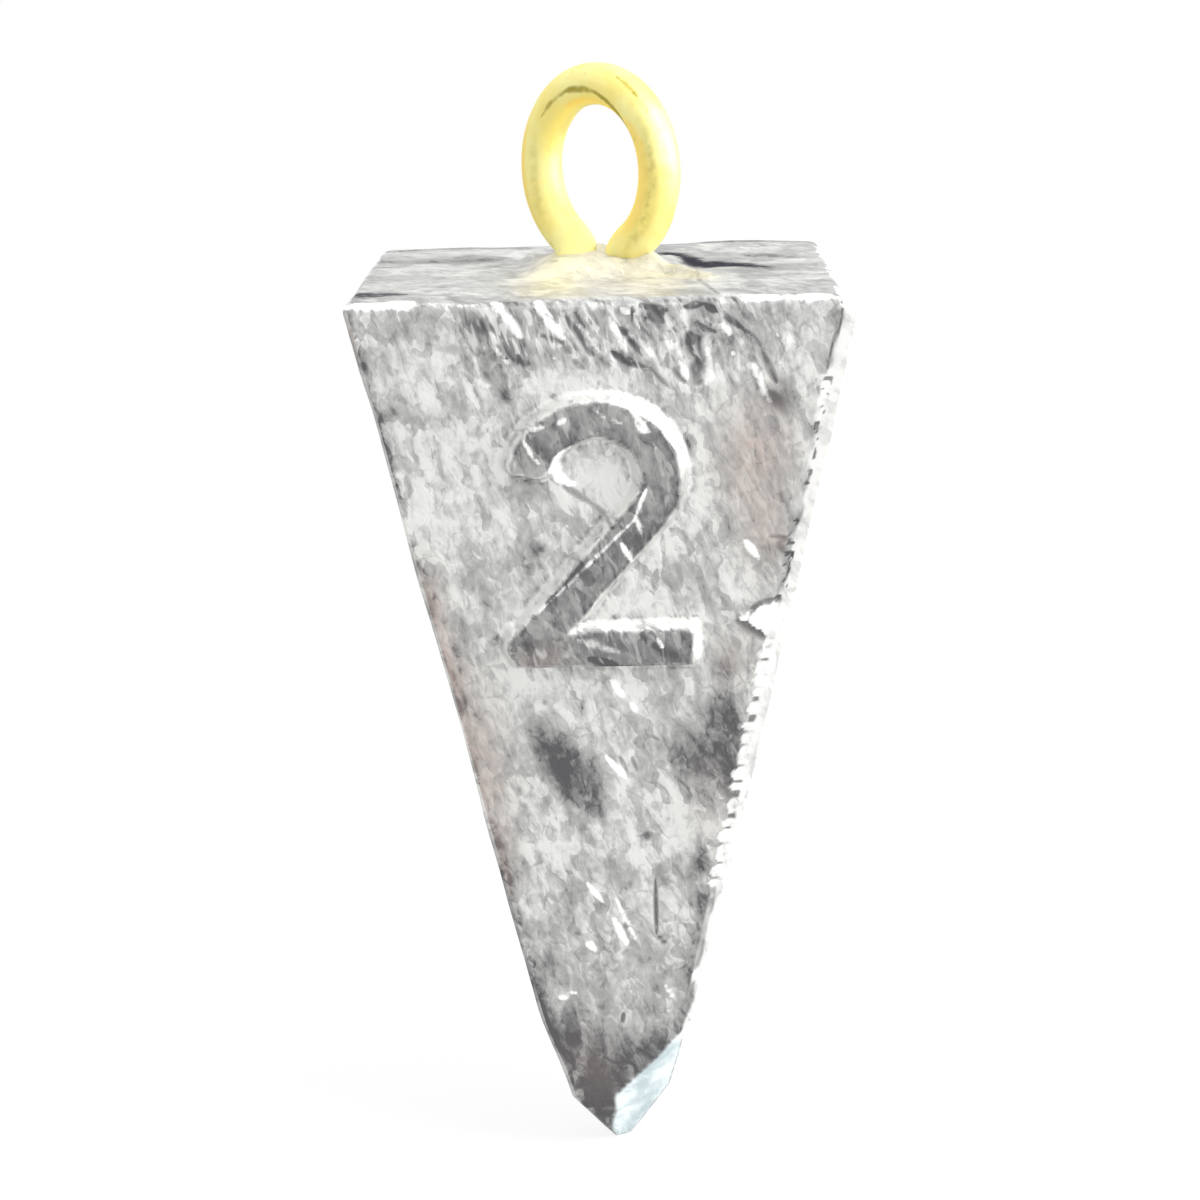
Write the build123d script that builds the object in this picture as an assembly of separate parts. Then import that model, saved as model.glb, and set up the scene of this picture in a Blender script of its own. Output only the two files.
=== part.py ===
from build123d import *
from math import atan, cos, degrees, radians, sin, sqrt, tan
import os

# Cast pyramid sinker with a wire eye, in millimetres and degrees.
# The origin is the middle of the eye, +Z is up and the numbered face looks along -Y.

# Wire eye: one length of round wire bent into a loop, its two legs crossing as they enter the lead
WIRE_DIAMETER = 1.65
LOOP_RADIUS = 3.3  # to the wire's centre-line
LEG_ANGLE = 54.0  # of each leg from the vertical, in the loop's plane
CROSS_DEPTH = 0.1  # of the legs' crossing below the top face
LEG_GAP = 0.12  # between the two legs where they pass
ANCHOR_LENGTH = 5.0  # of each leg beyond the crossing
BEND_SHARE = 0.5  # of the way to the crossing over which a leg bends out of the loop's plane
EYE_OFFSET = 0.3  # of the eye from the body's axis, along the parting line to the front right

# Lead body: a square pyramid, point down, with a blunt nose
TOP_WIDTH = 18.5
BODY_LENGTH = 36.1
END_WIDTH_SHARE = 0.1815  # of the top width that the straight sides would leave at the tip
NOSE_WIDTH_SHARE = 0.054  # of the top width left flat at the tip
NOSE_LENGTH_SHARE = 0.068  # of the body's length taken by the blunt nose
EDGE_RADIUS = 0.2  # along the four sloping edges
RIM_RADIUS = 0.3  # round the top face

# Raised weight number: the sizes of its land, with sloping walls outside it
NUMERAL_DROP = 3.88  # from the top edge to the number's top
NUMERAL_HEIGHT = 10.75
NUMERAL_WIDTH = 6.75
STROKE_WIDTH = 1.4
BOWL_RADIUS = 2.35  # to the stroke's centre-line, on the right
HOOK_RADIUS = 2.8  # to the stroke's centre-line, on the left
HOOK_SWEEP = 79.0  # from the top round to the hook's end
STROKE_SLANT = 40.5  # of the diagonal from the face's own vertical
STROKE_STOP_SHARE = 0.25  # of the stroke's width by which the diagonal stops short of the foot's middle
RELIEF = 0.6
WALL_DRAFT = 42.0

# Parting flash, in the diagonal plane where the two mould halves met
FLASH_WIDTH = 0.95  # beyond the sloping edge, at the top
FLASH_FALL_SHARE = 0.5  # of that width lost by the lower end
FLASH_THICKNESS = 0.35
FLASH_ROOT = 0.9  # depth that the flash reaches inside the body
BEAD_PITCH = 1.1  # spacing of the flash's rounded beads
BEAD_SHARES = (1.0, 0.82, 0.92, 0.76, 0.96, 0.86)  # of the flash width that successive beads reach
VALLEY_SHARE = 0.6  # of the flash width left between two beads
FAR_FLASH_SHARE = 0.5  # of the flash width left on the far edge
RIDGE_HEIGHT = 0.45  # beside the wire, falling to nothing at the corners

# Gate: one flat cut across the edge at the tip, where the lead was poured
GATE_LENGTH = 5.2  # up from the tip
GATE_SETBACK = 0.4  # from the body's axis at the tip

OVERRUN = 5.0  # that cutting shapes pass the surface

# Sizes that follow from the ones above
wire_radius = WIRE_DIAMETER / 2
cross_drop = LOOP_RADIUS / sin(radians(LEG_ANGLE))
leg_to_crossing = LOOP_RADIUS / tan(radians(LEG_ANGLE))
eye_height = cross_drop - CROSS_DEPTH
top_level = -eye_height
tip_level = top_level - BODY_LENGTH
end_width = TOP_WIDTH * END_WIDTH_SHARE
side_slope = degrees(atan((TOP_WIDTH - end_width) / 2 / BODY_LENGTH))
nose_width = TOP_WIDTH * NOSE_WIDTH_SHARE
nose_length = BODY_LENGTH * NOSE_LENGTH_SHARE
nose_base = end_width + 2 * nose_length * tan(radians(side_slope))
nose_slope = degrees(atan((nose_base - nose_width) / 2 / nose_length))
half_diagonal = TOP_WIDTH / sqrt(2)
edge_slope = (TOP_WIDTH - end_width) / sqrt(2) / BODY_LENGTH

# The body's axis stands behind and to the left of the eye's middle
body_place = Pos(-EYE_OFFSET / sqrt(2), EYE_OFFSET / sqrt(2))
# The parting plane: local x runs along the diagonal to the front right, local y is up
parting_plane = Plane(origin=(0, 0, 0), x_dir=(1, -1, 0), z_dir=(-1, -1, 0))
# The eye's plane: local x is up, local y to the front right, local z along the hole
eye_plane = Plane(origin=(0, 0, 0), x_dir=(0, 0, 1), z_dir=(1, 1, 0))
# The front face: origin in the middle of its top edge, local y up the slope, local z outwards
front_plane = Plane(
    origin=(0, -TOP_WIDTH / 2, top_level),
    x_dir=(1, 0, 0),
    z_dir=(0, -cos(radians(side_slope)), -sin(radians(side_slope))),
)


def leg_bend():
    # the angle out of the loop's plane at which two crossing legs pass with the gap between them
    apart = WIRE_DIAMETER + LEG_GAP
    reach = (2 - BEND_SHARE) * leg_to_crossing
    return degrees(atan(apart / sqrt(reach**2 - (apart / sin(radians(LEG_ANGLE))) ** 2)))


def wire_leg(start, onward, side):
    # a bend out of the loop's plane, then straight on into the lead
    run = BEND_SHARE * leg_to_crossing
    sideways = Vector(0, 0, side) * (run * tan(radians(leg_bend() / 2)))
    bend = TangentArc(start, start + onward * run + sideways, tangent=onward)
    left = (leg_to_crossing - run) / cos(radians(leg_bend())) + ANCHOR_LENGTH
    return [*bend.edges(), *Line(bend @ 1, bend @ 1 + (bend % 1) * left).edges()]


def wire_path():
    # most of a circle, then a leg from each end; the front leg passes on the left
    turn = 90.0 + LEG_ANGLE
    loop = CenterArc((0, 0), LOOP_RADIUS, -turn, 2 * turn)
    first = wire_leg(loop @ 0, -(loop % 0), -1)
    last = wire_leg(loop @ 1, loop % 1, 1)
    return Wire([*first, *loop.edges(), *last])


def wire_eye():
    path = wire_path()
    section = Plane(origin=path @ 0, z_dir=path % 0) * Circle(wire_radius)
    return eye_plane.location * sweep(section, path=path)


def tapered_down(width, slope):
    # a square that shrinks on its way down from the top face to the tip
    block = extrude(Rectangle(width, width), amount=BODY_LENGTH, taper=slope)
    return Pos(0, 0, top_level) * Rot(180, 0, 0) * block


def lead_pyramid():
    sides = tapered_down(TOP_WIDTH, side_slope)
    sloping = [e for e in sides.edges() if abs((e @ 0).Z - (e @ 1).Z) > BODY_LENGTH / 2]
    sides = fillet(sloping, EDGE_RADIUS)
    nose = tapered_down(nose_width + 2 * BODY_LENGTH * tan(radians(nose_slope)), nose_slope)
    body = sides & nose
    return fillet(body.faces().sort_by(Axis.Z)[-1].edges(), RIM_RADIUS)


def raised(outline):
    # a stroke with a flat land and sloping walls that run a little into the face
    return extrude(make_face(outline.edges()), amount=2 * RELIEF, taper=WALL_DRAFT)


def weight_numeral():
    run = RELIEF * tan(radians(WALL_DRAFT))
    foot_width = STROKE_WIDTH + 4 * run
    top = -NUMERAL_DROP - STROKE_WIDTH / 2
    foot_line = -NUMERAL_DROP - NUMERAL_HEIGHT + STROKE_WIDTH / 2
    bowl_middle = top - BOWL_RADIUS
    hook_middle = top - HOOK_RADIUS
    hook = CenterArc((0, hook_middle), HOOK_RADIUS, 90.0 + HOOK_SWEEP, -HOOK_SWEEP)
    bowl = CenterArc((0, bowl_middle), BOWL_RADIUS, 90.0, -90.0 - STROKE_SLANT)
    lean = Vector(-sin(radians(STROKE_SLANT)), -cos(radians(STROKE_SLANT)))
    drop = (bowl @ 1).Y - foot_line
    slant_length = drop / cos(radians(STROKE_SLANT)) + 2 * run - STROKE_WIDTH * STROKE_STOP_SHARE
    diagonal = Line(bowl @ 1, bowl @ 1 + lean * slant_length)
    stroke = trace(Wire([*hook.edges(), *bowl.edges(), *diagonal.edges()]), foot_width)
    foot = Pos(0, foot_line) * Rectangle(NUMERAL_WIDTH + 4 * run, foot_width)
    number = raised(stroke) + raised(foot)
    return front_plane.location * Pos(0, 0, -RELIEF) * number


def edge_point(depth, reach, side):
    # a point in the parting plane, at a depth below the top and a reach beyond the sloping edge
    return (side * (half_diagonal - depth * edge_slope + reach), top_level - depth)


def edge_flash(side, width, start, end):
    # a thin fin along one sloping edge, its outer line a row of rounded beads
    beads = max(2, round((end - start) / BEAD_PITCH))
    halves = 2 * beads
    points = []
    for i in range(halves + 1):
        share = BEAD_SHARES[i // 2 % len(BEAD_SHARES)] if i % 2 else VALLEY_SHARE
        reach = width * share * (1 - FLASH_FALL_SHARE * i / halves)
        points += [edge_point(start + (end - start) * i / halves, reach, side)]
    line = []
    for i in range(0, halves, 2):
        line += ThreePointArc(*points[i : i + 3]).edges()
    inner = [edge_point(end, -FLASH_ROOT, side), edge_point(start, -FLASH_ROOT, side)]
    line += Polyline(points[-1], *inner, points[0]).edges()
    return make_face(line)


def top_ridge():
    # a low ridge across the top, highest at the wire
    corner = half_diagonal - FLASH_ROOT
    low = top_level - FLASH_ROOT
    points = [(-corner, low), (-corner, top_level), (-LOOP_RADIUS, top_level + RIDGE_HEIGHT)]
    points += [(LOOP_RADIUS, top_level + RIDGE_HEIGHT), (corner, top_level), (corner, low)]
    return make_face(Polyline(*points, close=True).edges())


def parting_flash():
    faces = [edge_flash(1, FLASH_WIDTH, RIM_RADIUS, BODY_LENGTH - GATE_LENGTH)]
    faces += [edge_flash(-1, FLASH_WIDTH * FAR_FLASH_SHARE, RIM_RADIUS, BODY_LENGTH - nose_length)]
    faces += [top_ridge()]
    fins = [extrude(face, amount=FLASH_THICKNESS / 2, both=True) for face in faces]
    return [parting_plane.location * fin for fin in fins]


def gate_cutter():
    # everything outside one plane that slopes across the edge at the tip
    upper = Vector(*edge_point(BODY_LENGTH - GATE_LENGTH, 0, 1))
    lower = Vector(GATE_SETBACK, tip_level)
    along = (upper - lower).normalized() * OVERRUN
    inner = lower - along
    outer = upper + along
    face = make_face(Polyline(inner, outer, (outer.X, inner.Y), close=True).edges())
    return parting_plane.location * extrude(face, amount=TOP_WIDTH, both=True)


def lead_body(wire):
    body = lead_pyramid() + weight_numeral()
    for fin in parting_flash():
        body += fin
    return body_place * (body - gate_cutter()) - wire


wire = wire_eye()
lead = lead_body(wire)

os.makedirs("parts", exist_ok=True)
export_step(lead, "parts/lead_body.step")
export_step(wire, "parts/wire_eye.step")
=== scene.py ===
import itertools
import math
from types import SimpleNamespace

import bpy
import numpy as np
from mathutils import Matrix, Vector


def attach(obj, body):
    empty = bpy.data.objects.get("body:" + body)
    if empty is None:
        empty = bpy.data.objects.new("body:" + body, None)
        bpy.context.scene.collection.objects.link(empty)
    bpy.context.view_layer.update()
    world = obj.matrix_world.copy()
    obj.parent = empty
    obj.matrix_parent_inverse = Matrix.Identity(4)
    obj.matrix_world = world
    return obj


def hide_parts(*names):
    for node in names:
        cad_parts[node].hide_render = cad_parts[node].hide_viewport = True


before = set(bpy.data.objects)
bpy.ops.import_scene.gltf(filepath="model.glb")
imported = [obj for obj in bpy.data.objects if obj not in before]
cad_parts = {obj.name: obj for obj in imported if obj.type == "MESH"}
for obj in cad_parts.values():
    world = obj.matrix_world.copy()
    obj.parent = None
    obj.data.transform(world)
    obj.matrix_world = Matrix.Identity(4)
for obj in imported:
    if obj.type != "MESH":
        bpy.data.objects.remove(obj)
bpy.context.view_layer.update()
mm = 0.001
print("frame loaded")


# camera at the photograph's own place, found from the top face's corners and the tip
cameraSet = {
    "place": (1.987, -127.026, 10.575), "yaw": -1.08, "pitch": 12.36, "roll": -1.45,  # mm and degrees
    "lens": 96.97, "sensor": 36, "clipStart": 5.0,
}


def addCamera(s):
    # the three turns multiplied: the rows of the result point right, forward and up
    axes = {"roll": "Y", "pitch": "X", "yaw": "Z"}
    roll, pitch, yaw = (Matrix.Rotation(math.radians(s[key]), 3, axis) for key, axis in axes.items())
    rows = roll @ pitch @ yaw
    place = Matrix((rows[0], rows[2], -rows[1])).transposed().to_4x4()
    place.translation = Vector(s["place"]) * mm
    data = bpy.data.cameras.new("camera")
    data.lens, data.sensor_width, data.clip_start = s["lens"], s["sensor"], s["clipStart"] * mm
    camera = bpy.data.objects.new("camera", data)
    bpy.context.scene.collection.objects.link(camera)
    camera.matrix_world = place
    bpy.context.scene.camera = camera


addCamera(cameraSet)
print("camera placed")


# numpy helpers shared by the pieces, in mm
def smooth(low, high, x):
    # 0 below low, 1 above high, and the cubic 3t^2 - 2t^3 between them
    t = np.clip((x - low) / (high - low), 0, 1)
    return t * t * (3 - 2 * t)


def blotch(p, size, seed):
    # random values on a cubic lattice of the given cell size, blended with cubic weights: -1 to 1
    cells = 32  # each way, before the lattice repeats
    table = np.random.default_rng(seed).uniform(-1, 1, (cells, cells, cells))
    q = p / size
    cell = np.floor(q).astype(int)
    w = q - cell
    w = w * w * (3 - 2 * w)
    total = 0
    for corner in itertools.product((0, 1), repeat=3):
        i, j, k = np.moveaxis((cell + corner) % cells, -1, 0)
        total = total + table[i, j, k] * np.prod(np.where(corner, w, 1 - w), axis=-1)
    return total


def spots(x, y, places):
    # the sum of bell curves exp(-u^2 - v^2), u and v being distances over half-sizes, held to 0 to 1
    total = np.zeros_like(x)
    for at, size, strength in places:
        total = total + strength * np.exp(-(((x - at[0]) / size[0]) ** 2) - ((y - at[1]) / size[1]) ** 2)
    return np.clip(total, 0, 1)


def strokes(x, y, lines):
    # the strongest of a few soft lines: the distance to each segment, against a half-width that tapers
    total = np.zeros_like(x)
    for start, end, half, strength in lines:
        ex, ey = end[0] - start[0], end[1] - start[1]
        t = np.clip(((x - start[0]) * ex + (y - start[1]) * ey) / (ex * ex + ey * ey), 0, 1)
        taper = 1.15 - 0.55 * (2 * t - 1) ** 2  # full in the middle, about half at the ends
        away = np.hypot(x - start[0] - t * ex, y - start[1] - t * ey) / taper
        total = np.maximum(total, strength * (1 - smooth(0.2 * half, 1.8 * half, away)))
    return total


def gridPiece(name, points, marks):
    # rings of points joined ring to ring, each end closed by a fan to its middle; marks become attributes
    rows, cols = points.shape[:2]
    index = np.arange(rows * cols).reshape(rows, cols)
    after = np.roll(index, -1, axis=1)
    quads = np.stack([index[:-1], after[:-1], after[1:], index[1:]], -1).reshape(-1, 4)
    low = np.stack([np.full(cols, rows * cols), after[0], index[0]], -1)
    high = np.stack([np.full(cols, rows * cols + 1), index[-1], after[-1]], -1)
    ends = [points[0].mean(axis=0), points[-1].mean(axis=0)]
    verts = np.concatenate([points.reshape(-1, 3), ends]) * mm
    mesh = bpy.data.meshes.new(name)
    mesh.from_pydata(verts.tolist(), [], quads.tolist() + low.tolist() + high.tolist())
    mesh.polygons.foreach_set("use_smooth", np.ones(len(mesh.polygons), dtype=bool))
    for key, value in marks.items():
        layer = mesh.attributes.new(key, "FLOAT", "POINT")
        values = np.concatenate([value.ravel(), [value[0].mean(), value[-1].mean()]])
        layer.data.foreach_set("value", values.astype(np.float32))
    mesh.update()
    piece = bpy.data.objects.new(name, mesh)
    bpy.context.scene.collection.objects.link(piece)
    print(name, len(mesh.vertices), "points")
    return piece


# lead casting, in mm and degrees about its own axis
casting = {
    "axis": (-0.2121, 0.2121, 0.0), "topWidth": 18.5, "length": 36.1, "topLevel": -3.979,
    "endShare": 0.1815, "noseShare": 0.054, "noseLengthShare": 0.068, "rimRadius": 0.3,
    "cornerRadii": (0.2, 0.2, 0.35, 0.15),  # front right, back right, back left, front left
    "cornerShare": 0.42,  # of a ring's half-width, the most that its corners take
    "tipLean": 0.42, "leanRows": (30.0, 34.5),  # the left side leans to the right over these rows
    "plainTip": 0.9,  # height over which the skin's relief fades in above the tip
    "rowsTop": 44, "rowsRim": 7, "rowsNose": 14, "rowsTip": 4,
    "tipHalf": 0.12, "topCrowding": 0.85, "topShare": 0.985,  # first ring, and rings across the top
    "sideRows": (  # from, to and spacing, down the sides
        (0.42, 4.15, 0.09), (4.2, 15.4, 0.125), (15.5, 25.4, 0.11), (25.5, 33.5, 0.22),
    ),
    "faceColumns": (186, 22, 18, 22),  # front, right, back, left
    "cornerColumns": (26, 6, 14, 6),  # front right, back right, back left, front left
}
skin = {
    "swells": ((0.06, 5.2, 1), (0.035, 2.1, 2)), "fineSwell": (0.014, 0.8, 3),  # height, size, seed
    "foldRows": (0.05, 0.4), "foldEnd": (2.0, 3.8),  # where the folds begin and end, down the face
    "foldLeft": (-6.2, -3.6), "foldThin": (4.2, 5.6), "foldRight": (7.2, 8.4),  # and across the front
    "otherFaces": 0.4,  # of the folds' strength, on the other three
    "wrinkleSize": (1.2, 0.52), "wrinkleHeight": 0.06, "lineHeight": 0.04, "flakeHeight": 0.3,
}
numeral = {
    "drop": 4.58, "bowl": 2.35, "hook": 2.8, "slant": 40.5, "hookTurn": 76.0, "round": 0.3,
    "lap": 0.1, "lapAngle": 92.0,  # the hook and the bowl run past each other at the top
    "footDrop": 13.93, "footHalf": 3.38, "footRound": 0.1, "half": 0.7,
    "run": 0.44, "steepShare": 0.6, "relief": 0.6, "wallEase": 0.35, "skinLoss": 0.55, "waver": 0.05,
}
flash = {
    "at": (0.45, 1.0, 8.0, 12.0, 17.0, 20.0, 24.0, 28.0, 31.0, 32.5),  # down the edge
    "reach": (0.0, 0.82, 0.76, 0.66, 0.65, 0.58, 0.44, 0.28, 0.22, 0.0),  # beyond it, there
    "waver": 0.05, "far": 0.45, "rootShare": 0.75, "stepBack": 0.2, "stepRows": (0.5, 1.1, 28.0, 32.0),
    "firstBead": 14.3, "lastBead": 25.0, "beadPitch": 0.72, "beadAt": 0.06, "beadHalf": 0.44,
    "beadHeight": 0.16, "beadWay": (-0.4, -0.9, 0.0), "flakeAt": 13.2, "flakeHalf": 0.9,
    "creaseAt": -0.06, "creaseHalf": 0.055, "creaseUnbroken": 3.4, "dotRows": (2.5, 3.5, 12.0, 13.0),
}
crown = {
    "ridgeHeight": 0.42, "ridgeHalf": 0.35, "ridgeFall": (3.0, 11.5), "farRidge": 0.45,
    "moundAt": (0.1, -0.3), "moundHalf": (2.6, 2.5), "moundHeight": 0.78, "lumpHeight": 0.35,
}
gate = {"up": 5.4, "setback": 0.3, "turn": 32.0, "unevenness": 0.05}

# lines as start, end, half-width and strength; spots as centre, half-sizes and strength
# places on the front are (x, down from the top edge), and on the top (x, y)
# bright lines: scratches, and painted highlights on the number's walls and edges and glints on its land
brightLines = (
    ((-1.0, 5.6), (-1.4, 5.9), 0.12, 0.8), ((-1.4, 5.9), (-1.6, 6.4), 0.2, 1.0),
    ((-1.6, 6.4), (-1.6, 6.8), 0.28, 1.0), ((-1.6, 6.8), (-1.3, 7.2), 0.24, 1.0),
    ((-1.3, 7.2), (-0.9, 7.3), 0.15, 1.0), ((1.8, 7.3), (1.3, 8.6), 0.1, 0.7),
    ((1.4, 8.5), (-2.4, 12.3), 0.1, 0.65), ((0.8, 9.5), (1.2, 10.3), 0.13, 0.8),
    ((1.4, 8.5), (1.6, 9.3), 0.11, 0.7), ((-0.9, 13.5), (0.6, 14.0), 0.24, 0.6),
    ((1.3, 4.2), (2.0, 5.1), 0.12, 0.7), ((2.1, 13.5), (2.3, 13.9), 0.12, 0.7),
    ((5.5, 9.8), (6.0, 10.5), 0.17, 0.9), ((0.3, 15.5), (0.7, 16.2), 0.16, 0.9),
    ((1.0, 16.5), (1.2, 16.9), 0.14, 0.8), ((0.0, 18.8), (0.7, 19.7), 0.15, 0.9),
    ((-0.9, 24.4), (-0.3, 25.3), 0.14, 0.8), ((0.1, 26.0), (0.6, 27.2), 0.15, 0.9),
    ((0.2, 25.1), (1.0, 27.1), 0.1, 0.7), ((-1.0, 27.1), (-0.7, 27.4), 0.16, 1.0),
    ((-2.2, 29.7), (-1.5, 29.4), 0.1, 0.8), ((2.1, 29.2), (2.4, 29.7), 0.11, 0.8),
    ((3.6, 13.2), (3.65, 14.5), 0.17, 0.85), ((-1.95, 4.75), (-2.6, 4.9), 0.14, 0.68),
    ((-2.6, 4.9), (-2.75, 5.25), 0.12, 0.65), ((-2.75, 5.25), (-2.4, 6.0), 0.11, 0.7),
    ((-2.4, 6.0), (-2.15, 6.25), 0.11, 0.6), ((-1.5, 4.7), (-1.1, 4.45), 0.13, 0.58),
    ((0.05, 4.2), (0.35, 4.5), 0.13, 0.62), ((0.55, 4.5), (0.9, 4.7), 0.13, 0.58),
    ((1.45, 4.7), (1.8, 5.1), 0.13, 0.6), ((2.05, 5.4), (2.2, 5.8), 0.09, 0.58),
)
darkLines = (
    ((-1.3, 7.4), (-0.3, 8.1), 0.16, 0.9), ((-0.4, 8.0), (0.5, 8.9), 0.14, 0.8),
    ((-0.2, 16.0), (0.8, 18.2), 0.13, 0.5), ((0.5, 18.8), (0.8, 19.5), 0.08, 0.8),
    ((1.0, 18.9), (1.2, 19.5), 0.1, 0.8), ((1.8, 24.3), (1.8, 26.8), 0.09, 0.9),
    ((1.8, 26.8), (2.2, 27.3), 0.1, 0.9), ((2.0, 23.7), (1.9, 24.2), 0.22, 0.7),
    ((0.4, 30.4), (0.3, 30.9), 0.08, 1.0), ((1.5, 22.3), (1.5, 22.4), 0.3, 0.7),
    ((5.2, 13.1), (6.5, 13.9), 0.25, 0.9), ((5.7, 12.6), (6.5, 12.2), 0.15, 0.9),
    ((-1.5, 26.6), (-1.3, 26.7), 0.17, 0.7), ((-1.2, 27.6), (-1.2, 27.7), 0.25, 0.6),
    ((-2.3, 9.9), (-2.2, 10.0), 0.25, 0.6), ((-0.5, 14.3), (0.5, 14.6), 0.2, 0.9),
    ((2.0, 13.8), (2.9, 14.4), 0.35, 0.6), ((6.4, 9.6), (7.3, 9.75), 0.12, 0.9),
    ((6.75, 9.9), (6.95, 10.3), 0.2, 0.8), ((-2.3, 5.2), (-2.2, 5.8), 0.16, 0.55),
)
# folds under the top edge: pale strips with dark hollows between them
paleFolds = (
    ((-3.7, 0.0), (-3.3, 0.4), 0.2, 1.0), ((-3.3, 0.4), (-2.7, 1.4), 0.19, 1.0),
    ((-2.1, -0.1), (-1.9, 0.6), 0.2, 1.0), ((-1.9, 0.6), (-1.2, 1.5), 0.18, 1.0),
    ((-1.4, 0.1), (-1.2, 0.6), 0.13, 0.6), ((-0.3, 0.6), (0.0, 1.2), 0.12, 0.7),
    ((-0.6, 1.0), (0.2, 2.0), 0.14, 0.7), ((0.2, 2.0), (0.6, 2.5), 0.16, 0.5),
    ((0.6, 0.7), (0.9, 1.6), 0.14, 0.8), ((0.9, 1.6), (1.2, 2.2), 0.13, 0.7),
    ((1.0, 0.4), (1.3, 0.6), 0.14, 0.9), ((1.2, 1.3), (1.8, 1.9), 0.1, 0.6),
    ((1.8, 1.9), (2.1, 2.3), 0.1, 0.6), ((1.5, 0.6), (1.7, 1.2), 0.1, 0.9),
    ((2.0, 0.7), (2.1, 1.2), 0.08, 0.7), ((2.7, 1.2), (2.9, 1.8), 0.45, 0.5),
    ((3.1, 2.5), (3.4, 3.2), 0.15, 1.0), ((4.1, 1.6), (4.3, 2.4), 0.2, 0.6),
    ((4.3, 2.4), (4.1, 3.4), 0.22, 0.6), ((4.7, 1.1), (4.9, 1.5), 0.17, 0.9),
    ((5.1, 2.2), (5.2, 2.3), 0.11, 1.0), ((5.9, 2.7), (6.1, 3.5), 0.15, 0.8),
    ((3.9, 0.8), (4.6, 1.2), 0.2, 0.5), ((-3.8, 1.2), (-3.6, 1.8), 0.12, 0.8),
    ((-3.6, 1.8), (-3.1, 2.5), 0.11, 0.8), ((-1.5, 2.2), (-1.5, 2.3), 0.13, 0.9),
    ((6.1, 3.5), (6.5, 4.2), 0.13, 0.6), ((5.5, 1.5), (6.8, 2.6), 0.15, 0.5),
    ((6.9, 1.4), (7.2, 1.8), 0.42, 0.45),
)
darkFolds = (
    ((-4.1, 0.6), (-4.0, 1.2), 0.15, 0.6), ((-3.7, 0.9), (-3.3, 1.5), 0.22, 0.9),
    ((-3.3, 1.5), (-2.7, 2.4), 0.24, 0.9), ((-2.7, 2.4), (-2.4, 2.5), 0.2, 0.8),
    ((-2.9, 0.6), (-2.4, 1.2), 0.2, 0.45), ((-2.0, 1.4), (-1.1, 1.7), 0.14, 0.8),
    ((-1.6, 0.4), (-1.4, 1.0), 0.15, 0.6), ((-1.0, 0.7), (-0.4, 1.8), 0.16, 0.8),
    ((-0.4, 1.8), (0.0, 2.2), 0.15, 0.8), ((-0.7, 0.5), (-0.3, 1.3), 0.11, 0.8),
    ((0.0, 0.6), (0.6, 1.7), 0.2, 0.65), ((-0.8, 2.4), (-0.4, 2.7), 0.14, 0.8),
    ((-1.1, 1.8), (-0.9, 2.1), 0.13, 0.7), ((0.7, 2.1), (1.1, 2.5), 0.18, 0.85),
    ((1.1, 2.5), (1.8, 2.7), 0.15, 0.85), ((0.9, 1.0), (1.7, 2.2), 0.15, 0.8),
    ((1.4, 0.4), (1.6, 1.0), 0.09, 0.9), ((1.6, 1.0), (2.0, 1.5), 0.09, 0.9),
    ((2.2, 0.5), (2.4, 0.9), 0.34, 1.0), ((1.7, 0.3), (2.7, 0.5), 0.14, 1.0),
    ((2.7, 2.2), (2.9, 2.8), 0.17, 0.85), ((2.9, 2.8), (3.3, 3.3), 0.16, 0.85),
    ((3.6, 1.5), (3.9, 2.4), 0.33, 0.85), ((3.9, 2.4), (3.8, 3.3), 0.33, 0.85),
    ((3.3, 0.4), (4.0, 0.3), 0.14, 0.95), ((4.0, 0.3), (4.7, 0.6), 0.15, 0.95),
    ((4.7, 0.6), (5.4, 1.3), 0.15, 0.95), ((5.4, 1.3), (6.1, 2.0), 0.15, 0.9),
    ((6.1, 2.0), (6.7, 3.4), 0.15, 0.8), ((3.7, 1.0), (4.4, 1.4), 0.14, 0.85),
    ((4.9, 1.9), (5.2, 1.8), 0.12, 0.6), ((5.7, 2.3), (5.9, 2.6), 0.12, 0.7),
    ((5.8, 2.9), (6.0, 3.7), 0.12, 0.6), ((-4.1, 2.8), (-3.8, 3.2), 0.2, 0.6),
    ((-1.4, 3.1), (-1.0, 2.9), 0.2, 0.45), ((-2.6, 2.0), (-1.1, 2.0), 0.26, 0.5),
    ((6.6, 3.9), (7.1, 4.7), 0.3, 0.58), ((2.0, 2.7), (2.7, 3.5), 0.1, 0.7),
    ((2.7, 3.5), (3.4, 4.1), 0.09, 0.5), ((-5.8, 1.8), (-4.4, 1.9), 0.2, 0.4),
)
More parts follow.
